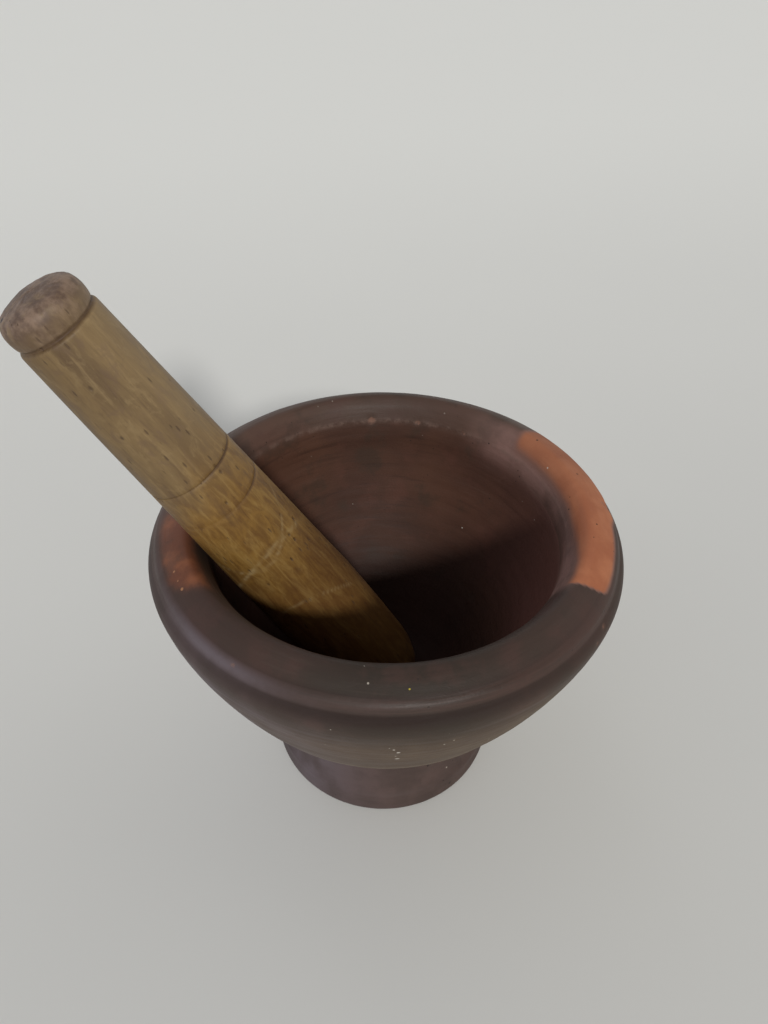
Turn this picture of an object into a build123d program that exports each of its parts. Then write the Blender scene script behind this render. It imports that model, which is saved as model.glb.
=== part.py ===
"""Mortar and pestle: a thrown, fired-clay mortar on a pedestal foot, and a turned wooden pestle.

Units are millimetres. +Z is up. The origin is the centre of the mortar's foot, on the table.
The pestle leans in the mortar toward -X, with its axis in the XZ plane.
"""

import os
from math import cos, radians, sin

from build123d import *

os.makedirs("parts", exist_ok=True)

# Mortar: rim and lip
rim_r = 110.0  # widest radius, just under the lip
rim_z = 150.6
crest_r = 91.9  # high line of the lip
crest_z = 167.4
mouth_r = 82.0  # narrowest part of the lip, inside
mouth_z = 147.5
break_r = 102.4  # edge where the lip's top meets the burnished bead
break_z = 162.7
groove_r = 106.9  # shallow groove under the bead
groove_z = 156.9
groove_depth = 0.7

# Mortar: wall, shoulder and foot
wall_top_r = 109.3
wall_top_z = 145.5
wall_bulge_r = 104.8
wall_bulge_z = 123.6
shoulder_r = 87.8
shoulder_z = 88.4
waist_r = 55.0
waist_z = 39.0
foot_r = 62.2
band_z = 12.4  # height of the flared band round the foot
recess_r = 45.0  # hollow under the foot, inside its ring
recess_z = 9.0

# Mortar: well
floor_z = 27.0

# Pestle
tip_x = 7.3  # end of the pestle's head, inside the well
tip_z = 29.5
lean_deg = 27.5  # from the vertical
head_r = 24.1
head_end = 36.0  # length of the rounded end
head_top = 96.8  # where the straight taper starts
grip_r = 16.3
grip_top = 271.0  # shoulder under the cap
cap_r = 15.9
pestle_length = 285.0
ring_at = (179.4, 198.3)
ring_depth = (0.4, 0.7)
ring_half_width = 0.7


def taper_r(along):
    """Radius of the straight taper at a distance from the tip."""
    share = (along - head_top) / (grip_top - head_top)
    return (head_r - 0.2) + (grip_r - head_r + 0.2) * share


# The mortar is thrown with its foot and fired as one body, so it is one revolved solid.
with BuildPart() as mortar:
    with BuildSketch(Plane.XZ) as mortar_section:
        with BuildLine() as mortar_outline:
            # Underside: shallow hollow, then the ring that stands on the table.
            Polyline(
                (0, 0.0 + recess_z + 1.0),
                (recess_r - 8.0, recess_z),
                (recess_r, 0),
                (foot_r - 1.6, 0),
                (foot_r, 1.8),
            )
            # Flared band round the foot, with a trimmed line over it.
            Polyline(
                (foot_r, 1.8),
                (foot_r - 1.0, band_z - 0.8),
                (foot_r - 2.2, band_z),
                (foot_r - 2.5, band_z + 1.4),
            )
            # Foot, waist and the trimmed underside of the bowl.
            Spline(
                (foot_r - 2.5, band_z + 1.4),
                (waist_r + 1.2, waist_z - 11.5),
                (waist_r, waist_z),
                (waist_r + 1.9, waist_z + 8.5),
                (waist_r + 7.6, waist_z + 18.5),
                (shoulder_r - 15.0, shoulder_z - 16.9),
            )
            # Two trimmed facets make the bowl's lower edge.
            Polyline(
                (shoulder_r - 15.0, shoulder_z - 16.9),
                (shoulder_r - 1.7, shoulder_z - 2.4),
                (shoulder_r, shoulder_z),
            )
            # Wall, widest just under the lip.
            Bezier(
                (shoulder_r, shoulder_z),
                (wall_bulge_r, wall_bulge_z),
                (wall_top_r, wall_top_z),
            )
            Spline(
                (wall_top_r, wall_top_z),
                (rim_r, rim_z),
                (rim_r - 0.5, rim_z + 3.1),
                (groove_r + 0.9, groove_z - 0.7),
            )
            # Groove and bead.
            Polyline(
                (groove_r + 0.9, groove_z - 0.7),
                (groove_r - groove_depth, groove_z),
                (groove_r, groove_z + 1.2),
            )
            ThreePointArc(
                (groove_r, groove_z + 1.2),
                (105.5, 160.4),
                (break_r + 1.2, break_z - 0.8),
            )
            Polyline(
                (break_r + 1.2, break_z - 0.8),
                (break_r + 0.4, break_z - 1.0),
                (break_r, break_z),
            )
            # Broad top of the lip, rolled over into the mouth.
            Spline(
                (break_r, break_z),
                (97.2, 165.9),
                (crest_r, crest_z),
                (88.2, 164.9),
                (85.2, 160.0),
                (83.0, 153.8),
                (mouth_r, mouth_z),
            )
            # Well: full sides and a rounded floor.
            Spline(
                (mouth_r, mouth_z),
                (81.1, 138.0),
                (77.8, 123.5),
                (72.5, 108.0),
                (65.5, 92.0),
                (57.5, 77.0),
                (49.0, 62.5),
                (41.0, 49.5),
                (33.0, 39.5),
                (23.5, 32.0),
                (12.0, 28.1),
                (0, floor_z),
                tangents=[(-0.05, -1.0), (-1.0, 0.0)],
            )
            Line((0, floor_z), (0, recess_z + 1.0))
        make_face()
    revolve(axis=Axis.Z)

# The pestle is turned from one billet: head, grip and cap are one solid of revolution.
lean = radians(lean_deg)
pestle_plane = Plane(
    origin=(tip_x, 0, tip_z),
    x_dir=(cos(lean), 0, sin(lean)),
    z_dir=(0, -1, 0),
)
pestle_axis = Axis((tip_x, 0, tip_z), (-sin(lean), 0, cos(lean)))

with BuildPart() as pestle:
    with BuildSketch(pestle_plane) as pestle_section:
        with BuildLine() as pestle_outline:
            # Rounded end of the head, then its barrel.
            Spline(
                (0, 0),
                (6.15, 1.23),
                (11.9, 4.82),
                (16.8, 10.5),
                (20.6, 18.0),
                (22.95, 26.7),
                (head_r - 0.35, head_end),
                tangents=[(1.0, 0.0), (0.012, 1.0)],
            )
            Spline(
                (head_r - 0.35, head_end),
                (head_r, 66.0),
                (head_r - 0.2, head_top),
                tangents=[(0.012, 1.0), (-0.0436, 1.0)],
            )
            # Straight taper with two incised rings.
            start = (head_r - 0.2, head_top)
            for at, depth in zip(ring_at, ring_depth):
                low = (taper_r(at - ring_half_width), at - ring_half_width)
                high = (taper_r(at + ring_half_width), at + ring_half_width)
                Polyline(start, low, (taper_r(at) - depth, at), high)
                start = high
            # Shoulder, neck groove and cap.
            Polyline(
                start,
                (grip_r + 0.05, grip_top - 1.2),
                (grip_r - 0.6, grip_top),
                (cap_r - 1.1, grip_top + 0.5),
                (cap_r - 1.1, grip_top + 1.2),
                (cap_r - 0.2, grip_top + 1.9),
            )
            Spline(
                (cap_r - 0.2, grip_top + 1.9),
                (cap_r, grip_top + 4.8),
                (cap_r - 0.9, grip_top + 9.2),
                (cap_r - 3.6, grip_top + 11.9),
                (cap_r - 8.2, grip_top + 13.3),
                (0, pestle_length),
                tangents=[(0.1, 1.0), (-1.0, 0.0)],
            )
            Line((0, pestle_length), (0, 0))
        make_face()
    revolve(axis=pestle_axis)

mortar.part.label = "mortar"
export_step(mortar.part, "parts/mortar.step")

pestle.part.label = "pestle"
export_step(pestle.part, "parts/pestle.step")
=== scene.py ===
import math

import bpy
import numpy as np
from mathutils import Matrix, Vector


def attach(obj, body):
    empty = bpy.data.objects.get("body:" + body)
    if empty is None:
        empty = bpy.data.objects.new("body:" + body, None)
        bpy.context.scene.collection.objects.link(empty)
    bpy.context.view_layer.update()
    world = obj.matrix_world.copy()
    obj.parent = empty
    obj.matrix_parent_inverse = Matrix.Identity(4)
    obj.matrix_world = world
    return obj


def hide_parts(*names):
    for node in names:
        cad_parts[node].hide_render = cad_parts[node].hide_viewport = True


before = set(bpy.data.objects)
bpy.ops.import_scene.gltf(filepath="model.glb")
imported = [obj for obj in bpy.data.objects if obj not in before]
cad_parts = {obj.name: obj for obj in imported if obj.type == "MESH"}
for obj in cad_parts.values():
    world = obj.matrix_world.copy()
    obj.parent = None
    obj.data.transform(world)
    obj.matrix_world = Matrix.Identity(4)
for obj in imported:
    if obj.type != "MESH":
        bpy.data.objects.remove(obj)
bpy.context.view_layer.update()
MM = 0.001


# ---------------------------------------------------------------- curves, noise and meshes


def smooth(points, step):
    """Catmull-Rom curve through points, in mm, sampled about every step mm, without its last point."""
    p = [np.array(q, float) for q in points]
    p = [2 * p[0] - p[1]] + p + [2 * p[-1] - p[-2]]
    out = []
    for a, b, c, d in zip(p, p[1:], p[2:], p[3:]):
        n = max(2, int(np.linalg.norm(c - b) / step))
        for t in (i / n for i in range(n)):
            bend = (2 * a - 5 * b + 4 * c - d) * t * t + (3 * b - a - 3 * c + d) * t * t * t
            out.append(b + 0.5 * ((c - a) * t + bend))
    return out


def bezier(a, b, c, step):
    """Curve from a to c that is drawn toward b, without its last point."""
    a, b, c = (np.array(q, float) for q in (a, b, c))
    n = int((np.linalg.norm(b - a) + np.linalg.norm(c - b)) / step)
    return [(1 - t) ** 2 * a + 2 * t * (1 - t) * b + t**2 * c for t in (i / n for i in range(n))]


def ease(x, start, end):
    """0 at start and 1 at end, smooth between them. Start may be above end."""
    t = np.clip((np.asarray(x, float) - start) / (end - start), 0, 1)
    return t * t * (3 - 2 * t)


def hill(x, middle, width):
    """1 at middle, falling smoothly to 0 on both sides of it."""
    return np.exp(-(((np.asarray(x, float) - middle) / width) ** 2))


def lattice(x, y, z):
    """One octave of smooth random values from -1 to 1, the same on each run."""
    x, y, z = np.broadcast_arrays(*(np.asarray(v, float) for v in (x, y, z)))
    whole = [np.floor(v).astype(np.int64) for v in (x, y, z)]
    part = [v - w for v, w in zip((x, y, z), whole)]
    part = [t * t * (3 - 2 * t) for t in part]
    total = 0.0
    for corner in range(8):
        step = [(corner >> b) & 1 for b in range(3)]
        i, j, k = (w + s for w, s in zip(whole, step))
        h = (i * 374761393 + j * 668265263 + k * 1274126177) & 0xFFFFFFFF
        h = ((h ^ (h >> 13)) * 1103515245) & 0xFFFFFFFF
        h = (h ^ (h >> 16)) & 0xFFFF
        weight = 1.0
        for t, s in zip(part, step):
            weight = weight * (t if s else 1 - t)
        total = total + weight * (h / 32767.5 - 1)
    return total


def wander(x, y, z, octaves=3):
    """Smooth random values, each octave finer and weaker than the last."""
    return sum(lattice(x * 2**o + 31 * o, y * 2**o, z * 2**o) / 2**o for o in range(octaves))


def section(stretches):
    """Stations of a turned outline, which zone each is in, its arc length and its outward normal."""
    stations = np.array([p for _, points in stretches for p in points])
    zones = np.array([zone for zone, points in stretches for _ in points])
    stations[0, 0] = stations[-1, 0] = 0.0
    arc = np.concatenate([[0], np.cumsum(np.linalg.norm(np.diff(stations, axis=0), axis=1))])
    along = np.gradient(stations, axis=0)
    along /= np.linalg.norm(along, axis=1)[:, None]
    return stations, zones, arc, np.stack([along[:, 1], -along[:, 0]], axis=1)


def turned(name, rows, facts):
    """A closed round mesh that carries facts, its named attributes.

    rows is (stations, around, 3) in metres, and its first and last rows are points.
    """
    count, around = rows.shape[:2]

    def flat(values):
        rings = values[1:-1].reshape(-1, *values.shape[2:])
        return np.concatenate([values[:1, 0], rings, values[-1:, 0]])

    verts = flat(rows)
    k = np.arange(around)
    after = (k + 1) % around
    first = 1 + (count - 3) * around
    faces = np.stack([np.zeros_like(k), 1 + after, 1 + k], axis=1).tolist()
    for low in range(1, first, around):
        high = low + around
        faces += np.stack([low + k, low + after, high + after, high + k], axis=1).tolist()
    faces += np.stack([first + k, first + after, np.full_like(k, len(verts) - 1)], axis=1).tolist()
    mesh = bpy.data.meshes.new(name)
    mesh.from_pydata(verts.tolist(), [], faces)
    mesh.shade_smooth()
    for key, values in facts.items():
        kind = "FLOAT" if values.ndim == 2 else "FLOAT_VECTOR"
        field = "value" if values.ndim == 2 else "vector"
        layer = mesh.attributes.new(key, kind, "POINT")
        layer.data.foreach_set(field, flat(values).astype(np.float32).ravel())
    o = bpy.data.objects.new(name, mesh)
    bpy.context.scene.collection.objects.link(o)
    return o


# ---------------------------------------------------------------- node trees


class Nodes:
    """Short names for building a material's node tree."""

    def __init__(self, name):
        self.material = bpy.data.materials.new(name)
        self.material.use_nodes = True
        self.tree = self.material.node_tree
        self.tree.nodes.clear()
        self.shader = self.tree.nodes.new("ShaderNodeBsdfPrincipled")
        out = self.tree.nodes.new("ShaderNodeOutputMaterial")
        self.tree.links.new(self.shader.outputs[0], out.inputs[0])

    def put(self, socket, value):
        if isinstance(value, bpy.types.NodeSocket):
            self.tree.links.new(value, socket)
        else:
            socket.default_value = value

    def attribute(self, name, output="Fac"):
        n = self.tree.nodes.new("ShaderNodeAttribute")
        n.attribute_name = name
        return n.outputs[output]

    def coordinates(self):
        return self.tree.nodes.new("ShaderNodeTexCoord").outputs["Object"]

    def stretched(self, vector, scale, shift=(0, 0, 0)):
        n = self.tree.nodes.new("ShaderNodeMapping")
        self.put(n.inputs["Vector"], vector)
        n.inputs["Scale"].default_value = scale
        n.inputs["Location"].default_value = shift
        return n.outputs[0]

    def noise(self, vector, scale=1.0, detail=3.0, rough=0.5, warp=0.0):
        n = self.tree.nodes.new("ShaderNodeTexNoise")
        self.put(n.inputs["Vector"], vector)
        n.inputs["Scale"].default_value = scale
        n.inputs["Detail"].default_value = detail
        n.inputs["Roughness"].default_value = rough
        n.inputs["Distortion"].default_value = warp
        return n.outputs["Fac"]

    def blob(self, vector, centre, size, ragged):
        """1 within about half of size of a point, and 0 outside, with a ragged edge. In mm."""
        n = self.tree.nodes.new("ShaderNodeVectorMath")
        n.operation = "DISTANCE"
        self.put(n.inputs[0], vector)
        n.inputs[1].default_value = [v * MM for v in centre]
        far = self.times(n.outputs["Value"], self.range(ragged, 0.35, 0.65, 0.75, 1.35))
        return self.range(far, size * 0.6 * MM, size * 0.35 * MM)

    def height_along(self, vector, axis):
        n = self.tree.nodes.new("ShaderNodeSeparateXYZ")
        self.put(n.inputs[0], vector)
        return n.outputs[axis]

    def spots(self, vector, scale, size, soft=0.5):
        """1 inside scattered round spots, and 0 outside. size is in cells."""
        n = self.tree.nodes.new("ShaderNodeTexVoronoi")
        self.put(n.inputs["Vector"], vector)
        n.inputs["Scale"].default_value = scale
        return self.range(n.outputs["Distance"], size, size * soft)

    def range(self, value, start, end, low=0.0, high=1.0):
        n = self.tree.nodes.new("ShaderNodeMapRange")
        n.interpolation_type = "SMOOTHSTEP"
        self.put(n.inputs["Value"], value)
        for key, v in (("From Min", start), ("From Max", end), ("To Min", low), ("To Max", high)):
            n.inputs[key].default_value = v
        return n.outputs["Result"]

    def math(self, operation, a, b=0.0):
        n = self.tree.nodes.new("ShaderNodeMath")
        n.operation = operation
        self.put(n.inputs[0], a)
        self.put(n.inputs[1], b)
        return n.outputs[0]

    def times(self, first, *others):
        for v in others:
            first = self.math("MULTIPLY", first, v)
        return first

    def plus(self, first, *others):
        for v in others:
            first = self.math("ADD", first, v)
        return first

    def mix(self, amount, a, b):
        n = self.tree.nodes.new("ShaderNodeMix")
        n.data_type = "RGBA"
        self.put(n.inputs[0], amount)
        self.put(n.inputs[6], a if isinstance(a, bpy.types.NodeSocket) else (*a, 1.0))
        self.put(n.inputs[7], b if isinstance(b, bpy.types.NodeSocket) else (*b, 1.0))
        return n.outputs[2]

    def over(self, base, colour, *amounts):
        """A colour laid over base, as strongly as the product of the amounts."""
        return self.mix(self.times(*amounts), base, colour)

    def finish(self, colour, roughness, height, strength, distance, specular=0.5):
        """The finished material. strength and distance, in metres, are its bump's."""
        bump = self.tree.nodes.new("ShaderNodeBump")
        bump.inputs["Strength"].default_value = strength
        bump.inputs["Distance"].default_value = distance
        self.put(bump.inputs["Height"], height)
        self.put(self.shader.inputs["Base Color"], colour)
        self.put(self.shader.inputs["Roughness"], roughness)
        self.put(self.shader.inputs["Normal"], bump.outputs[0])
        self.shader.inputs["Specular IOR Level"].default_value = specular
        return self.material


# ---------------------------------------------------------------- mortar

# Points of the section are (radius, height) in mm, from the middle of the underside to the well's floor.
RING_IN, RING_OUT = (45.6, 0.35), (61.7, 0.5)  # the ring that it stands on
BAND_TOP = (60.5, 12.1)
WAIST = (55.0, 39.0)
FOOT_TOP = (72.8, 71.5)
UNDER_SHOULDER = (86.1, 86.0)
SHOULDER = (87.8, 88.4)
WALL_TOP = (109.3, 145.5)
GROOVE = (107.0, 156.8)
BEAD = (105.0, 160.9)
BREAK = (102.5, 162.7)  # where the roll meets the lip's top
CREST = (91.9, 167.4)
ROLL = (85.5, 160.4)
INNER_EDGE = (83.7, 156.2)
MOUTH = (82.0, 147.5)
MIDWAY = (57.5, 77.0)
WELL_FOOT = (23.5, 32.0)
WELL_FLOOR = (0.0, 27.0)

mortar_rows, mortar_zones, mortar_arc, mortar_out = section(
    [
        ("under", smooth([(0, 10.0), (18, 9.7), (34, 9.1), (38.5, 8.0), (43.2, 2.4), RING_IN], 3.0)),
        ("under", smooth([RING_IN, (47.5, 0.0), (54, 0.0), (60.0, 0.0), RING_OUT], 2.0)),
        ("foot", smooth([RING_OUT, (62.1, 2.0), (61.7, 6.2), (61.1, 10.8), BAND_TOP], 0.9)),
        ("foot", smooth([BAND_TOP, (59.9, 13.2), (59.1, 15.6), (56.4, 27.5), WAIST], 1.3)),
        ("foot", smooth([WAIST, (56.9, 47.5), (62.6, 57.5), FOOT_TOP], 1.3)),
        ("foot", smooth([FOOT_TOP, (79.0, 78.8), (84.6, 84.6), UNDER_SHOULDER], 1.2)),
        ("wall", smooth([UNDER_SHOULDER, (86.9, 86.9), (87.35, 87.5), SHOULDER], 0.5)),
        ("wall", bezier(SHOULDER, (104.8, 123.6), WALL_TOP, 1.3)),
        ("wall", smooth([WALL_TOP, (109.9, 149.6), (109.6, 152.6), (108.6, 155.0), GROOVE], 0.7)),
        ("bead", smooth([GROOVE, (106.4, 158.4), BEAD, BREAK], 0.45)),
        ("lip", smooth([BREAK, (97.2, 165.8), CREST, (88.2, 164.9), ROLL], 0.9)),
        ("lip", smooth([ROLL, (84.3, 157.6), INNER_EDGE, (82.8, 152.4), MOUTH], 0.6)),
        ("well", smooth([MOUTH, (81.1, 138.0), (77.8, 123.5), (72.5, 108.0), (65.5, 92.0), MIDWAY], 1.1)),
        ("well", smooth([MIDWAY, (49.0, 62.5), (41.0, 49.5), (33.0, 39.5), WELL_FOOT], 1.1)),
        ("well", smooth([WELL_FOOT, (12.0, 28.1), WELL_FLOOR], 1.1) + [np.array(WELL_FLOOR)]),
    ]
)

ZONES = ("under", "foot", "wall", "bead", "lip", "well")
RING_PITCH, TRIM_PITCH = 9.5, 4.7  # mm from one finger ring, or one trimming ring, to the next
# What the mortar's mesh says of each of its points, from 0 to 1.
MORTAR_FACTS = (
    *("clean", "fringe", "worn", "inside", "painted_bounce_light", "deep", "edge", "shoulder"),
    *("line", "bead", "pale_wall", "foot", "far", "dusky", "painted_lilac_reflection", "front_darkening", "knock"),
)

# Knocks in the rim, shoulder and foot: (bearing in degrees, radius, height, size, depth).
KNOCKS = [
    (-8.5, 104.8, 161.1, 3.2, 1.2),
    (82.4, *INNER_EDGE, 2.4, 0.6),
    (65.0, *INNER_EDGE, 1.6, 0.5),
    (47.0, *INNER_EDGE, 1.3, 0.4),
    (-47.5, 108.6, 155.0, 1.6, 0.6),
    (-51.5, 109.6, 152.5, 1.5, 0.5),
    (-137.0, *BEAD, 1.2, 0.7),
    (122.0, *GROOVE, 3.0, 0.8),
    (158.0, 62.0, 2.5, 4.0, 1.1),
    (-20.0, 62.0, 3.0, 3.2, 0.9),
    (-82.0, 58.5, 18.0, 1.4, 0.7),
    (-76.0, 57.0, 25.0, 1.1, 0.5),
    (35.0, 61.9, 2.0, 2.6, 0.8),
    (208.0, *SHOULDER, 2.6, 0.6),
    (98.0, *SHOULDER, 3.0, 0.6),
]

PALE, YELLOW = (0.50, 0.46, 0.40), (0.42, 0.33, 0.02)
ORANGE, DARK = (0.36, 0.17, 0.08), (0.020, 0.012, 0.010)
# Specks stuck to the pot: (bearing in degrees, radius, height, size, colour).
SPECKS = [
    (9.5, 87, 163.5, 0.9, PALE),
    (-108.5, 92, 167.5, 0.6, PALE),
    (-114, 110, 150.5, 0.6, PALE),
    (-102.5, 107, 136.5, 0.6, PALE),
    (-101.5, 107, 134.5, 0.9, PALE),
    (-100.5, 105, 130.5, 1.3, PALE),
    (-101, 103.5, 125, 0.7, PALE),
    (-100.5, 101.5, 119.5, 1.7, PALE),
    (-91, 107, 136, 0.7, PALE),
    (92, 72, 106.5, 0.5, PALE),
    (38, 70.5, 102.5, 0.7, PALE),
    (-98.5, 100, 164.5, 0.8, YELLOW),
    (-168, 99, 165, 1.3, ORANGE),
    (-164.5, 99.5, 165, 0.9, ORANGE),
    (-161.5, 99, 165, 1.9, ORANGE),
    (20.5, 92.5, 167, 1.3, DARK),
    (11.5, 96, 166.5, 0.5, DARK),
    (2, 96, 166.5, 1.2, DARK),
    (-10, 86, 161.5, 0.8, DARK),
    (-20, 95.5, 166.5, 1.1, DARK),
    (-26, 93.5, 167, 0.6, DARK),
    (36, 84, 156.5, 1.1, DARK),
    (-66, 61.5, 6, 1.6, DARK),
    (-70, 60.5, 11.5, 1.1, DARK),
    (-78, 56.5, 27, 1.3, DARK),
    (-62, 58, 20, 1.0, DARK),
]


def nearest(point):
    """Number of the section's station nearest to a point."""
    return int(np.argmin(np.linalg.norm(mortar_rows - np.array(point), axis=1)))


def on_pot(bearing, r, z):
    """The place on the mortar's surface nearest to a radius and height, at a bearing in degrees."""
    r, z = mortar_rows[nearest((r, z))]
    return r * math.cos(math.radians(bearing)), r * math.sin(math.radians(bearing)), z


def arc_at(point):
    """Arc length of the section's station nearest to a point."""
    return mortar_arc[nearest(point)]


def bare_of_slip(degrees, r):
    """How bare of slip the lip is: a clean patch on one side and a worn one on the other."""
    # The clean patch ends in a straight line at one end, and its inner side feathers away.
    outer = 104.2 + 9.0 * ease(degrees, -18, -5)
    inner = 85.4 + 3.2 * ease(degrees, -18, -40)
    clean = ease(r, inner - 2.6, inner + 3.2) * ease(r, outer + 1.2, outer - 2.2)
    ends = ease(degrees, -46.2 + 0.28 * (r - 90), -45.0 + 0.28 * (r - 90)) * ease(degrees, 28.5, 23.5)
    clean = clean * ends
    # The fringe where the slip thins also carries a painted lilac reflection.
    fringe = ease(r, 80.6, 83.6) * ease(r, 94, 86) * ease(degrees, -50, -44) * ease(degrees, 50, 30)
    round_back = np.where(degrees < 0, degrees + 360, degrees)
    worn = ease(round_back, 160, 176) * ease(round_back, 205 - 0.5 * (r - 95), 196 - 0.5 * (r - 95))
    worn = worn * ease(r, 84, 92) * ease(r, 105.5, 99.5)
    return clean, fringe, worn


def knocks(turn, c, s, r, z):
    """How deep the knocks go, in mm, and how knocked each place is, from 0 to 1."""
    deep_in, knocked = 0.0, 0.0
    for bearing, kr, kz, size, deep in KNOCKS:
        gap = np.abs((turn - math.radians(bearing) + math.pi) % (2 * math.pi) - math.pi)
        far = np.sqrt((gap * kr) ** 2 + (r - kr) ** 2 + (z - kz) ** 2)
        dent = np.exp(-((far / size) ** 2)) * (1 + 0.45 * lattice(c * 120, s * 120, z * 1.2))
        deep_in = deep_in + deep * dent
        knocked = np.maximum(knocked, np.clip(dent, 0, 1))
    return deep_in, knocked


def mortar_relief(turn, c, s, r, z, a, zone):
    """How far the surface stands proud of the section, in mm, and how knocked it is."""
    # Thrown by hand, so the round wanders a little.
    proud = 0.16 * wander(c * 1.1 + 3, s * 1.1 + 5, z * 0.012) * np.clip(z / 30, 0, 1)
    # Soft finger rings climb the well as a spiral, and come and go.
    depth = ease(z, 150, 136) * ease(z, 28, 44) * zone["well"]
    rings = np.sin(2 * math.pi * a / RING_PITCH + turn + 3.0 * wander(c * 1.5, s * 1.5, a * 0.035))
    come_and_go = 0.25 + ease(wander(c * 1.6 + 9, s * 1.6, a * 0.06), -0.5, 0.9)
    proud = proud + 0.055 * depth * rings * come_and_go
    proud = proud + 0.06 * depth * wander(c * 3, s * 3, a * 0.35)
    # Finer rings and a wander are left outside.
    outside = (zone["wall"] + zone["foot"]) * ease(z, 0.5, 5) * ease(z, 155, 144)
    trimming = np.sin(2 * math.pi * a / TRIM_PITCH + turn)
    proud = proud + 0.035 * outside * ease(z, 10, 24) * trimming
    proud = proud + 0.14 * outside * wander(c * 3 + 2, s * 3, z * 0.04)
    # The lip is patted, not turned, so it is a little uneven.
    groove, mouth = arc_at(GROOVE), arc_at(MOUTH)
    on_top = ease(a, groove - 4, groove + 4) * ease(a, mouth + 8, mouth - 6)
    uneven = 0.10 * wander(c * 4 + 5, s * 4, a * 0.10) + 0.05 * wander(c * 11, s * 11, a * 0.5)
    proud = proud + on_top * uneven
    # The groove under the roll fades out round the left side.
    proud = proud + 0.45 * hill(a, groove, 1.5) * ease(c, -0.35, -0.85)
    proud = proud * (1 - zone["under"])
    deep_in, knocked = knocks(turn, c, s, r, z)
    proud = proud - deep_in
    # Under the pestle the clay stands no prouder than it was drawn.
    from_pestle = np.abs((turn % (2 * math.pi)) - math.pi)
    beside = hill(from_pestle, 0, 0.45) * (zone["well"] + zone["lip"])
    return proud * (1 - 0.75 * beside) - 0.05 * beside, knocked


def mortar_facts(degrees, s, r, z, a, zone):
    """Where on the mortar each kind of colour and wear lies, from 0 to 1."""
    groove, bead, broken = arc_at(GROOVE), arc_at(BEAD), arc_at(BREAK)
    lip_and_bead = zone["lip"] + zone["bead"]
    clean, fringe, worn = bare_of_slip(degrees, r)
    # The inner edge is paler from wear, with a painted highlight that is strongest round the far side.
    inner = hill(a, arc_at(INNER_EDGE), 1.3) * (0.35 + 0.65 * hill(degrees, 76, 60))
    shoulder = arc_at(SHOULDER)
    # A soft dark band in the groove under the roll, most toward the front, and a fainter one at the break.
    soft_line = 0.85 * ease(a, groove - 6.5, groove - 1.2) * ease(a, groove + 1.6, groove)
    soft_line = np.maximum(soft_line, 0.45 * hill(a, broken, 0.8))
    on_roll = ease(a, groove - 0.5, groove + 2.0) * ease(a, broken + 1.0, broken - 1.0)
    # A painted lilac reflection of the cool side light, widest on the wall and foot, weaker on the roll, and
    # strong in one band of it.
    left = hill(np.where(degrees > 0, degrees - 360, degrees), -152, 32)
    high_painted_reflection = 0.35 * ease(z, 140, 152) * ease(a, broken + 1, broken - 3)
    painted_lilac_reflection = left * (ease(z, 152, 140) + high_painted_reflection) * (zone["foot"] + zone["wall"] + zone["bead"])
    painted_lilac_reflection = painted_lilac_reflection + 0.7 * hill(degrees, -143, 17) * hill(a, bead - 1.5, 3)
    return {
        "clean": clean * lip_and_bead,
        "fringe": fringe * (zone["lip"] + zone["well"]) * ease(z, 134, 154),
        "worn": worn * lip_and_bead,
        "inside": zone["well"] + zone["lip"] * ease(r, 85.2, 83.2) * ease(z, 159, 152),
        "edge": 0.95 * inner,
        "shoulder": np.maximum(0.9 * hill(a, shoulder, 1.0), 0.6 * hill(a, shoulder + 3.6, 0.8)),
        "line": soft_line * hill(degrees, -102, 44),
        # The roll is marked most strongly at the front, for its painted highlight.
        "bead": on_roll * (0.35 + 0.65 * hill(degrees, -82, 40)),
        "pale_wall": zone["wall"] * ease(z, 156, 128),
        "foot": zone["foot"] * ease(z, 86, 82),
        "far": lip_and_bead * ease(s, -0.45, 0.45),
        "painted_lilac_reflection": painted_lilac_reflection,
        "dusky": hill(degrees, 76, 30) * ease(s, 0.0, 0.6),
        # Painted bounce light on one side of the well, and painted shade low down in it.
        "painted_bounce_light": zone["well"] * hill(degrees, -30, 42) * ease(z, 70, 110),
        "deep": zone["well"] * ease(z, 102, 58),
        "front_darkening": ease(np.abs(degrees + 99), 31, 6),
    }


def build_mortar(around=440):
    turn = np.linspace(0, 2 * math.pi, around, endpoint=False)[None, :]
    degrees = (np.degrees(turn) + 180) % 360 - 180
    c, s = np.cos(turn), np.sin(turn)
    r, z, a = mortar_rows[:, :1], mortar_rows[:, 1:], mortar_arc[:, None]
    zone = {name: (mortar_zones == name).astype(float)[:, None] for name in ZONES}
    proud, knocked = mortar_relief(turn, c, s, r, z, a, zone)
    rr, zz = r + proud * mortar_out[:, :1], np.maximum(z + proud * mortar_out[:, 1:], 0)
    rows = np.stack([rr * c, rr * s, np.broadcast_to(zz, rr.shape)], axis=2) * MM
    full = np.zeros_like(rr)
    facts = mortar_facts(degrees, s, r, z, a, zone)
    facts["knock"] = knocked
    facts = {name: full + facts[name] for name in MORTAR_FACTS}
    facts["turn"] = np.stack([full + c, full + s, full + a * 0.01], axis=2)
    return turned("fired_clay_mortar", rows, facts)


def clay_patterns(n, at, turn):
    """Patterns of the clay. Marks of the wheel and of the brush run round the pot."""
    return {
        "marks": n.noise(n.stretched(turn, (2.0, 2.0, 30.0)), 1.0, 5.0, 0.62, 0.2),
        "fine": n.noise(n.stretched(turn, (6.0, 6.0, 170.0)), 1.0, 4.0, 0.6),
        "cloud": n.noise(at, 15.0, 3.0, 0.5),
        "mottle": n.noise(n.stretched(at, (1, 1, 1), (4.0, 1.0, 2.0)), 48.0, 5.0, 0.6),
        "grain": n.noise(at, 1100.0, 2.0, 0.6),
        "tooth": n.noise(at, 380.0, 3.0, 0.6),
        "flame": n.noise(n.stretched(at, (1, 1, 1), (7.0, 3.0, 0.0)), 55.0, 4.0, 0.5),
    }


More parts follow.
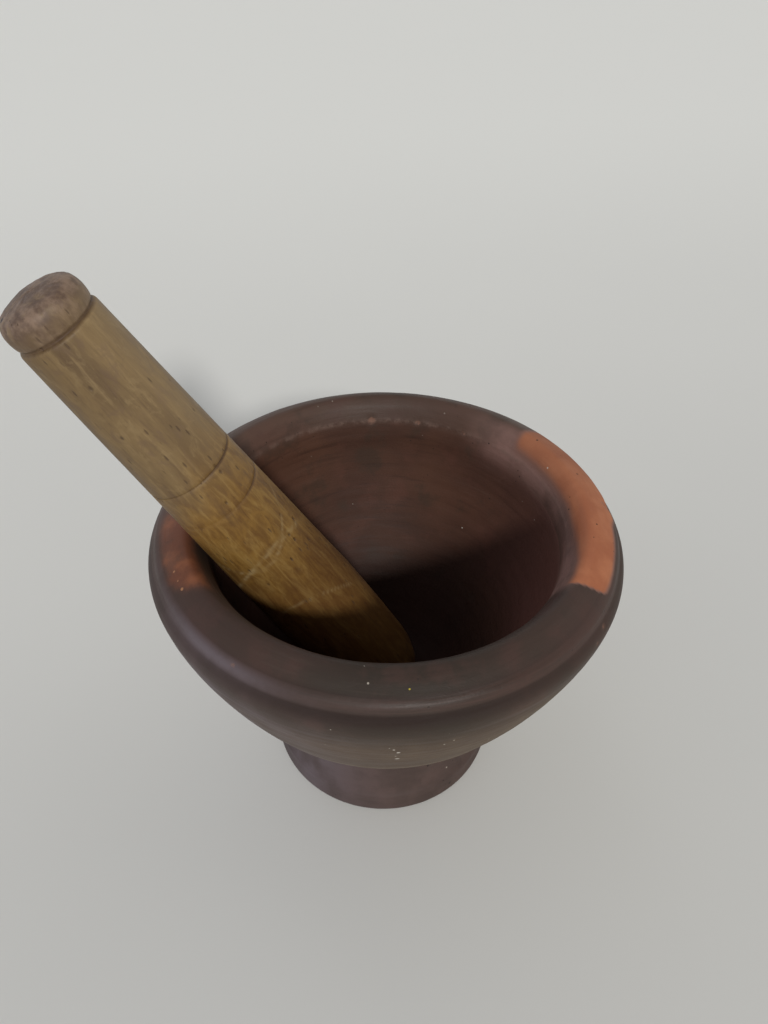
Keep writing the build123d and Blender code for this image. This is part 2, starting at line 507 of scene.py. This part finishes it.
def slip_colour(n, fact, pattern):
    """The dark slip on the lip and roll, and what it thins to on the wall and foot."""
    marks, fine, cloud, mottle = (pattern[k] for k in ("marks", "fine", "cloud", "mottle"))
    # It drifts between olive brown and purple brown, and is paler round the back of the lip.
    front = n.mix(n.range(cloud, 0.4, 0.6), (0.048, 0.0290, 0.0215), (0.056, 0.0315, 0.0245))
    # Darker on the front of the lip.
    front = n.over(front, (0.032, 0.0215, 0.0150), fact["front_darkening"])
    back = n.mix(n.range(cloud, 0.4, 0.6), (0.090, 0.051, 0.036), (0.104, 0.053, 0.038))
    slip = n.mix(fact["far"], front, back)
    slip = n.over(slip, (0.062, 0.034, 0.024), fact["dusky"], 0.8)
    slip = n.over(slip, (0.076, 0.036, 0.028), n.range(mottle, 0.5, 0.64), 0.4)
    slip = n.over(slip, (0.034, 0.026, 0.019), n.range(mottle, 0.48, 0.36), 0.35)
    slip = n.over(slip, (0.088, 0.062, 0.050), n.range(marks, 0.54, 0.78), 0.28)
    slip = n.over(slip, (0.024, 0.014, 0.011), n.range(marks, 0.48, 0.26), 0.28)
    # The burnished roll under the lip is paler, in streaks, with a painted highlight that is strongest at
    # the front, toward the main light.
    streak = n.plus(n.times(n.range(fine, 0.36, 0.66), 0.55), n.times(n.range(marks, 0.38, 0.6), 0.45))
    slip = n.over(slip, (0.074, 0.039, 0.031), fact["bead"], n.plus(0.1, n.times(streak, 0.66)))
    # Down the wall the slip thins over trimmed clay, and the foot is smoother and pinker.
    wall = n.mix(n.range(mottle, 0.35, 0.68), (0.083, 0.051, 0.030), (0.112, 0.074, 0.042))
    wall = n.over(wall, (0.155, 0.115, 0.073), n.range(fine, 0.45, 0.75), 0.35)
    slip = n.over(slip, wall, fact["pale_wall"], n.range(marks, 0.2, 0.7, 0.7, 1.0))
    foot = n.mix(n.range(mottle, 0.35, 0.68), (0.060, 0.038, 0.032), (0.088, 0.055, 0.047))
    slip = n.over(slip, foot, fact["foot"], 0.9)
    # A painted lilac reflection lies on the outside at one side.
    return n.over(slip, (0.122, 0.096, 0.107), fact["painted_lilac_reflection"], n.range(mottle, 0.3, 0.65, 0.4, 1.0))


def well_colour(n, fact, pattern):
    """The well, stained by use, with painted bounce light making one side redder and paler, and painted
    shade making it darkest at the bottom.
    """
    marks, cloud, mottle = (pattern[k] for k in ("marks", "cloud", "mottle"))
    well = n.mix(n.range(cloud, 0.38, 0.62), (0.060, 0.026, 0.0165), (0.088, 0.038, 0.0225))
    well = n.over(well, (0.108, 0.042, 0.028), n.range(mottle, 0.52, 0.7), 0.45)
    well = n.over(well, (0.040, 0.026, 0.017), n.range(mottle, 0.46, 0.32), 0.5)
    well = n.over(well, (0.030, 0.015, 0.011), n.range(marks, 0.5, 0.28), 0.4)
    well = n.over(well, (0.115, 0.068, 0.050), n.range(marks, 0.58, 0.78), 0.3)
    # Painted bounce light: one side of the well paler and redder.
    well = n.over(well, (0.150, 0.062, 0.048), fact["painted_bounce_light"], 0.85)
    # Painted shade: darker toward the bottom of the well.
    return n.over(well, (0.030, 0.013, 0.009), fact["deep"], 0.75)


def with_bare_clay(n, colour, at, fact, pattern):
    """Lay the patches without slip over a colour: a clean orange one, and a worn, redder one."""
    mottle, grain, flame = (pattern[k] for k in ("mottle", "grain", "flame"))
    orange = n.mix(n.range(flame, 0.36, 0.66), (0.365, 0.122, 0.056), (0.455, 0.170, 0.080))
    orange = n.over(orange, (0.29, 0.110, 0.066), n.range(mottle, 0.58, 0.74), 0.4)
    orange = n.over(orange, (0.16, 0.06, 0.04), n.range(grain, 0.6, 0.75), 0.2)
    orange = n.over(orange, (0.250, 0.096, 0.051), fact["far"], 0.5)
    # The clean patch has a ragged edge, and a lilac fringe where the slip thins, made paler still by a
    # painted reflection.
    at_edge = n.times(n.range(fact["clean"], 0.0, 0.25), n.range(fact["clean"], 1.0, 0.8), 0.5)
    ragged = n.plus(fact["clean"], n.times(n.plus(mottle, -0.5), at_edge))
    colour = n.over(colour, (0.270, 0.152, 0.128), fact["fringe"], n.range(mottle, 0.3, 0.6, 0.45, 0.85))
    colour = n.over(colour, (0.200, 0.100, 0.075), n.range(ragged, 0.02, 0.5))
    colour = n.over(colour, orange, n.range(ragged, 0.3, 0.98))
    scuffs = n.noise(n.stretched(at, (1, 1, 1), (1, 8, 0)), 70.0, 4.0, 0.65)
    patchy = n.times(fact["worn"], n.range(scuffs, 0.34, 0.66, 0.5, 1.0))
    reddish = n.mix(n.range(mottle, 0.4, 0.6), (0.180, 0.058, 0.027), (0.310, 0.106, 0.044))
    return n.over(colour, reddish, n.range(patchy, 0.03, 0.95, 0.0, 0.72))


def with_wear_and_highlight(n, colour, at, fact, pattern):
    """Rub the edges through to paler clay, paint a highlight on the inner edge, open the knocks, and darken
    the groove.
    """
    marks, tooth = pattern["marks"], pattern["tooth"]
    # The inner edge: worn clay, and a painted highlight.
    rub_and_highlight = n.range(n.noise(at, 140.0, 4.0, 0.7), 0.4, 0.62)
    colour = n.over(colour, (0.185, 0.120, 0.096), fact["edge"], rub_and_highlight, 0.6)
    rubbed = n.range(marks, 0.3, 0.6, 0.35, 1.0)
    colour = n.over(colour, (0.235, 0.190, 0.125), fact["shoulder"], rubbed, 0.75)
    above_foot, broken = n.range(fact["foot"], 0.5, 0.1), n.range(tooth, 0.38, 0.6)
    opened = n.range(fact["knock"], 0.25, 0.8)
    colour = n.over(colour, (0.25, 0.125, 0.085), opened, above_foot, broken, 0.6)
    # Darken the soft band in the groove under the roll.
    return n.over(colour, (0.022, 0.0105, 0.0078), fact["line"])


def clay():
    n = Nodes("slipped_clay")
    at, turn = n.coordinates(), n.attribute("turn", "Vector")
    fact = {name: n.attribute(name) for name in MORTAR_FACTS}
    pattern = clay_patterns(n, at, turn)
    marks, grain, tooth = pattern["marks"], pattern["grain"], pattern["tooth"]
    colour = n.mix(fact["inside"], slip_colour(n, fact, pattern), well_colour(n, fact, pattern))
    colour = with_bare_clay(n, colour, at, fact, pattern)
    colour = with_wear_and_highlight(n, colour, at, fact, pattern)
    for bearing, r, z, size, tone in SPECKS:
        colour = n.over(colour, tone, n.blob(at, on_pot(bearing, r, z), size, tooth))
    # Iron spots, and a few pale specks of lime.
    iron = n.times(n.spots(at, 260.0, 0.13), n.range(n.noise(at, 60.0, 2.0), 0.56, 0.66))
    colour = n.over(colour, (0.012, 0.008, 0.007), iron, 0.8)
    some_places = n.range(n.noise(at, 38.0, 1.0), 0.57, 0.66)
    lime = n.spots(n.stretched(at, (1, 1, 1), (0.31, 0.17, 0.05)), 120.0, 0.07)
    colour = n.over(colour, (0.42, 0.37, 0.31), lime, some_places, 0.9)

    # The roll is burnished, and bare clay is matt.
    rough = n.plus(n.range(marks, 0.3, 0.7, 0.52, 0.66), n.times(fact["bead"], -0.12))
    rough = n.plus(rough, n.times(fact["clean"], 0.18), n.times(fact["inside"], 0.08))
    rough = n.plus(rough, n.times(fact["line"], 0.25), n.times(n.plus(grain, -0.5), 0.1))
    height = n.plus(n.times(marks, 0.45), n.times(pattern["fine"], 0.22), n.times(grain, 0.16))
    height = n.plus(height, n.times(tooth, 0.4), n.times(iron, -0.5), n.times(fact["clean"], -0.2))
    return n.finish(colour, rough, height, 0.4, 0.0005, 0.32)


mortar = build_mortar()
mortar.data.materials.append(clay())
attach(mortar, "mortar_body")
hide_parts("mortar")

# ---------------------------------------------------------------- pestle

TIP = np.array((7.3, 0.0, 29.5))
LEAN = math.radians(27.5)
ALONG = np.array((-math.sin(LEAN), 0, math.cos(LEAN)))
UPPER_SIDE = np.array((math.cos(LEAN), 0, math.sin(LEAN)))
FAR_SIDE = np.cross(ALONG, UPPER_SIDE)
# Points of its section are (radius, distance from the tip) in mm.
BARREL = (23.75, 36.0)
ROUNDED_END = [(0, 0), (6.15, 1.23), (11.9, 4.82), (16.8, 10.5), (20.6, 18.0), (22.95, 26.7), BARREL]
HEAD_TOP, HEAD_RADIUS = 96.8, 23.9
GRIP_END, GRIP_RADIUS = 271.0, 16.3  # where the taper would end, under the cap
GRIP_TOP = GRIP_END - 1.4
UNDER_CAP = [(16.2, 270.4), (15.7, 270.95), (14.85, 271.5)]
NECK = (15.0, 272.3)
NECK_CUT = 271.6
CAP_SIDE = (15.1, 281.0)
OVER_CAP = [(13.4, 282.8), (9.5, 284.1), (4.5, 284.8)]
CAP_TOP = (0.0, 285.0)
RING_HALF = 0.8  # half of a cut ring's width
CAP_PIT = (-11.3, -4.4, 283.3)  # across, across and along the pestle
# Each cut ring: distance from the tip, depth, where round the pestle it is deepest, and how far
# round it goes, the last two in radians.
RINGS = [(179.4, 0.35, 0.1, 1.0), (198.3, 0.65, 0.0, 1.2)]
MOST_PROUD = 0.12  # mm that wear may stand proud of the section
# What the pestle's mesh says of each of its points, from 0 to 1.
PESTLE_FACTS = ("cut", "cap", "painted_lit_side", "painted_shaded_side", "used", "worked", "scar")


def taper(t):
    return HEAD_RADIUS - (HEAD_RADIUS - GRIP_RADIUS) * (t - HEAD_TOP) / (GRIP_END - HEAD_TOP)


def straight(start, end, step=1.5):
    return smooth([(taper(start), start), (taper(end), end)], step)


def ring_cut(t, deep):
    floor = (taper(t) - deep, t)
    return smooth([(taper(t - RING_HALF), t - RING_HALF), floor, (taper(t + RING_HALF), t + RING_HALF)], 0.2)


(low_ring, low_deep, *_), (high_ring, high_deep, *_) = RINGS
pestle_rows, _, _, pestle_out = section(
    [
        ("head", smooth(ROUNDED_END, 1.0)),
        ("head", smooth([BARREL, (24.1, 66.0), (HEAD_RADIUS, HEAD_TOP)], 1.6)),
        ("grip", straight(HEAD_TOP, low_ring - RING_HALF)),
        ("grip", ring_cut(low_ring, low_deep)),
        ("grip", straight(low_ring + RING_HALF, high_ring - RING_HALF)),
        ("grip", ring_cut(high_ring, high_deep)),
        ("grip", straight(high_ring + RING_HALF, GRIP_TOP)),
        ("cap", smooth([(taper(GRIP_TOP), GRIP_TOP), *UNDER_CAP, NECK], 0.25)),
        ("cap", smooth([NECK, (15.6, 273.0), (15.95, 275.5), (15.85, 278.5), CAP_SIDE], 0.6)),
        ("cap", smooth([CAP_SIDE, *OVER_CAP, CAP_TOP], 0.7)),
        ("cap", [np.array(CAP_TOP)]),
    ]
)


def ring_cuts(turn, t):
    """What fills the faded parts of the rings, in mm, and how deep the dirt in them is."""
    fill, cut = 0.0, 0.0
    for at, deep, middle, spread in RINGS:
        gap = np.abs((turn - middle + math.pi) % (2 * math.pi) - math.pi)
        here = np.exp(-((gap / spread) ** 4))
        across = np.clip(1 - np.abs(t - at) / RING_HALF, 0, 1)
        fill = fill + deep * across * (1 - here) * 0.95
        dirt = np.clip(1.7 * across, 0, 1) * (0.04 + 0.96 * here) * (0.55 + 0.6 * deep)
        cut = np.maximum(cut, dirt)
    return fill, cut


def pestle_facts(c, s, t):
    """Where on the pestle each kind of colour and wear lies, from 0 to 1."""
    scar = np.maximum(hill(t, 150 - 16 * (1 + s) + 9 * c, 0.8), 0.8 * hill(t, 146 + 24 * (1 + s), 0.6))
    scar = np.maximum(scar, 0.5 * hill(t, 118 - 30 * (1 + s), 0.6)) * ease(s, 0.2, -0.3)
    return {
        "cap": ease(t, 271.2, 272.6) * (0.55 + 0.45 * ease(t, 276, 281)),
        # Painted light on the upper side, and painted shade on the lower.
        "painted_lit_side": ease(c, 0.3, 1.0),
        "painted_shaded_side": ease(c, 0.3, -0.5),
        "used": ease(t + 14 * wander(c * 2, s * 2, t * 0.02), 220, 176),
        "worked": ease(t + 12 * wander(c * 2 + 5, s * 2, t * 0.03), 160, 112),
        "scar": scar,
    }


def build_pestle(around=176):
    turn = np.linspace(0, 2 * math.pi, around, endpoint=False)[None, :]
    c, s = np.cos(turn), np.sin(turn)
    r, t = pestle_rows[:, :1], pestle_rows[:, 1:]
    # Turned, then worn: long shallow flats, and knocks on the head and cap.
    proud = 0.14 * wander(c * 1.3 + 4, s * 1.3, t * 0.012) + 0.05 * wander(c * 5, s * 5, t * 0.03)
    proud = proud + 0.2 * wander(c * 3 + 1, s * 3, t * 0.09) * ease(t, 60, 10)
    proud = proud + (0.18 * wander(c * 2.4 + 8, s * 2.4, t * 0.12) - 0.05) * ease(t, 271.5, 274)
    fill, cut = ring_cuts(turn, t)
    proud = np.minimum(proud, MOST_PROUD) + fill
    under_cap = np.clip(1 - np.abs(t - NECK_CUT) / 1.1, 0, 1) * (0.45 + 0.55 * ease(c, -0.8, 0.4))
    rr, tt = r + proud * pestle_out[:, :1], t + proud * pestle_out[:, 1:]
    spot = TIP + tt[..., None] * ALONG + (rr * c)[..., None] * UPPER_SIDE + (rr * s)[..., None] * FAR_SIDE
    full = np.zeros_like(rr)
    facts = {name: full + values for name, values in pestle_facts(c, s, t).items()}
    facts["cut"] = full + np.maximum(cut, under_cap)
    facts["grain"] = np.stack([rr * c, rr * s, full + t], axis=2) * MM
    return turned("turned_wood_pestle", spot * MM, facts)


def wood_patterns(n, g):
    """Patterns of the wood. Fibres run along the pestle, so most are drawn out that way."""
    # Pores and pits lie in clusters.
    dotted = n.range(n.noise(n.stretched(g, (95, 95, 34)), 1.0, 2.0), 0.44, 0.56)
    pitted = n.range(n.noise(n.stretched(g, (60, 60, 40)), 1.0, 2.0), 0.47, 0.57)
    return {
        "broad": n.noise(n.stretched(g, (75, 75, 9)), 1.0, 4.0, 0.55, 0.5),
        "fibre": n.noise(n.stretched(g, (300, 300, 42)), 1.0, 6.0, 0.66, 0.9),
        "hair": n.noise(n.stretched(g, (1400, 1400, 60)), 1.0, 3.0, 0.6),
        "blot": n.noise(n.stretched(g, (170, 170, 105)), 1.0, 6.0, 0.68, 0.6),
        "stain": n.noise(n.stretched(g, (190, 190, 150), (2, 0, 1)), 1.0, 5.0, 0.65),
        "fleck": n.noise(n.stretched(g, (420, 420, 300)), 1.0, 3.0),
        "nick": n.range(n.noise(n.stretched(g, (130, 130, 120)), 1.0, 3.0), 0.32, 0.60),
        "pore": n.times(n.spots(n.stretched(g, (420, 420, 105)), 1.0, 0.2), dotted),
        "pit": n.times(n.spots(n.stretched(g, (165, 165, 95), (0.3, 0.2, 0.1)), 1.0, 0.14, 0.3), pitted),
    }


def dry_wood(n, fact, pattern):
    """The grip: tan wood, with painted light on its upper side and painted shade on the other."""
    broad, fibre, hair, blot = (pattern[k] for k in ("broad", "fibre", "hair", "blot"))
    base = n.mix(n.range(broad, 0.38, 0.62), (0.138, 0.085, 0.036), (0.208, 0.134, 0.056))
    base = n.over(base, (0.300, 0.205, 0.096), n.range(fibre, 0.5, 0.68), 0.55)
    base = n.over(base, (0.105, 0.060, 0.029), n.range(fibre, 0.5, 0.32), 0.55)
    base = n.over(base, (0.085, 0.048, 0.024), n.range(hair, 0.55, 0.7), 0.35)
    base = n.over(base, (0.150, 0.092, 0.052), n.range(blot, 0.52, 0.64), 0.5)
    base = n.over(base, (0.270, 0.186, 0.086), n.range(blot, 0.47, 0.35), 0.5)
    # Painted light and shade on the grip's two sides.
    base = n.over(base, (0.34, 0.235, 0.120), fact["painted_lit_side"], 0.34)
    return n.over(base, (0.100, 0.060, 0.024), fact["painted_shaded_side"], 0.25)


def used_wood(n, fact, pattern):
    """The working half: oil and food have turned it golden, then brown."""
    fibre, blot = pattern["fibre"], pattern["blot"]
    gold = n.mix(n.range(blot, 0.36, 0.64), (0.232, 0.121, 0.024), (0.160, 0.077, 0.016))
    gold = n.over(gold, (0.300, 0.180, 0.048), n.range(fibre, 0.48, 0.66), 0.65)
    gold = n.over(gold, (0.100, 0.046, 0.013), n.range(fibre, 0.48, 0.34), 0.6)
    return n.over(gold, (0.105, 0.043, 0.010), fact["worked"], n.range(fibre, 0.2, 0.7, 0.95, 0.5))


def cap_wood(n, pattern):
    """The cap: end grain, blotched pink and brown."""
    cap = n.mix(n.range(pattern["stain"], 0.38, 0.62), (0.102, 0.060, 0.041), (0.235, 0.157, 0.110))
    cap = n.over(cap, (0.11, 0.068, 0.052), n.range(pattern["fleck"], 0.52, 0.7), 0.5)
    return n.over(cap, (0.25, 0.17, 0.085), n.range(pattern["blot"], 0.52, 0.66), 0.5)


def wood():
    n = Nodes("worn_turned_wood")
    g = n.attribute("grain", "Vector")
    fact = {name: n.attribute(name) for name in PESTLE_FACTS}
    pattern = wood_patterns(n, g)
    fibre, nick, pore, pit = (pattern[k] for k in ("fibre", "nick", "pore", "pit"))
    colour = n.over(dry_wood(n, fact, pattern), used_wood(n, fact, pattern), fact["used"], 0.94)
    colour = n.over(colour, cap_wood(n, pattern), fact["cap"], 0.92)
    # Short dark pores and pits, pale scratches, and dirt in the cuts.
    colour = n.over(colour, (0.070, 0.038, 0.020), pore, 0.65)
    colour = n.over(colour, (0.055, 0.028, 0.014), pit, 0.7)
    colour = n.over(colour, (0.40, 0.30, 0.15), fact["scar"], nick, 0.6)
    colour = n.over(colour, (0.020, 0.011, 0.008), n.blob(g, CAP_PIT, 2.8, nick))
    colour = n.over(colour, (0.058, 0.026, 0.014), fact["cut"], 0.85)
    rough = n.plus(n.range(fibre, 0.3, 0.7, 0.5, 0.64), n.times(fact["used"], -0.05), n.times(pore, 0.1))
    height = n.plus(n.times(fibre, 0.7), n.times(pattern["hair"], 0.3), n.times(pore, -0.8))
    height = n.plus(height, n.times(pit, -1.5), n.times(pattern["stain"], fact["cap"], 0.8))
    height = n.plus(height, n.times(fact["scar"], nick, -0.4))
    return n.finish(colour, rough, height, 0.5, 0.0005, 0.45)


pestle = build_pestle()
pestle.data.materials.append(wood())
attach(pestle, "pestle_body")
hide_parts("pestle")

# ---------------------------------------------------------------- floor, light and camera


def build_floor(half=8.0, cuts=12):
    marks = np.linspace(-half, half, cuts + 1)
    verts = [(x, y, 0.0) for y in marks for x in marks]
    corners = [j * (cuts + 1) + i for j in range(cuts) for i in range(cuts)]
    mesh = bpy.data.meshes.new("floor")
    mesh.from_pydata(verts, [], [(v, v + 1, v + cuts + 2, v + cuts + 1) for v in corners])
    o = bpy.data.objects.new("floor", mesh)
    bpy.context.scene.collection.objects.link(o)
    return o


def pale_floor():
    n = Nodes("pale_floor")
    at = n.coordinates()
    tone = n.noise(at, 2.2, 3.0, 0.5)
    near = n.mix(n.range(tone, 0.3, 0.7), (0.665, 0.66, 0.632), (0.69, 0.685, 0.655))
    # Painted light: the floor grows paler toward the back.
    colour = n.mix(n.range(n.height_along(at, "Y"), -0.4, 1.3), near, (0.845, 0.845, 0.805))
    return n.finish(colour, n.range(tone, 0.3, 0.7, 0.55, 0.62), n.noise(at, 500.0, 2.0), 0.08, 0.0003, 0.3)


floor = build_floor()
floor.data.materials.append(pale_floor())

HEADING = -13.7  # where the camera stands round the object, in degrees from -Y


def sun(name, bearing, elevation, strength, spread, colour):
    """A soft distant light, bearing degrees round from -Y and elevation degrees up."""
    a, e = math.radians(bearing), math.radians(elevation)
    toward = Vector((math.sin(a) * math.cos(e), -math.cos(a) * math.cos(e), math.sin(e)))
    data = bpy.data.lights.new(name, "SUN")
    data.energy = strength
    data.angle = math.radians(spread)
    data.color = colour
    o = bpy.data.objects.new(name, data)
    o.location = toward * 3
    o.rotation_mode = "QUATERNION"
    o.rotation_quaternion = toward.to_track_quat("Z", "Y")
    bpy.context.scene.collection.objects.link(o)


sun("main", HEADING + 13, 33.7, 1.88, 6.5, (1.0, 0.985, 0.955))
sun("cool_side", HEADING - 88, 26, 0.72, 120, (0.78, 0.84, 1.0))
sun("back_wall", HEADING + 152, 34, 0.70, 110, (1.0, 0.985, 0.96))

world = bpy.data.worlds.new("pale_room")
world.use_nodes = True
room = world.node_tree
way = room.nodes.new("ShaderNodeTexCoord")
height = room.nodes.new("ShaderNodeSeparateXYZ")
level = room.nodes.new("ShaderNodeMapRange")
# The room is brightest at the horizon, and dim overhead.
level.inputs["From Max"].default_value = 0.8
level.inputs["To Min"].default_value = 0.50
level.inputs["To Max"].default_value = 0.10
room.links.new(way.outputs["Generated"], height.inputs[0])
room.links.new(height.outputs["Z"], level.inputs["Value"])
room.links.new(level.outputs[0], room.nodes["Background"].inputs["Strength"])
room.nodes["Background"].inputs["Color"].default_value = (1.0, 1.0, 0.985, 1.0)
bpy.context.scene.world = world
bpy.context.scene.view_settings.view_transform = "Standard"

data = bpy.data.cameras.new("camera")
data.lens = 26.37
data.sensor_width = 36.0
data.clip_start = 0.01
camera = bpy.data.objects.new("camera", data)
pitch, roll, bearing = math.radians(-41.44), math.radians(1.04), math.radians(90 + HEADING - 0.05)
ahead = Vector((math.cos(bearing) * math.cos(pitch), math.sin(bearing) * math.cos(pitch), math.sin(pitch)))
right = Vector((math.sin(bearing), -math.cos(bearing), 0.0))
up = right.cross(ahead)
right, up = right * math.cos(roll) + up * math.sin(roll), up * math.cos(roll) - right * math.sin(roll)
facing = Matrix((right, up, -ahead)).transposed().to_4x4()
camera.matrix_world = Matrix.Translation((-0.0635, -0.2539, 0.3935)) @ facing
bpy.context.scene.collection.objects.link(camera)
bpy.context.scene.camera = camera

bpy.context.view_layer.update()
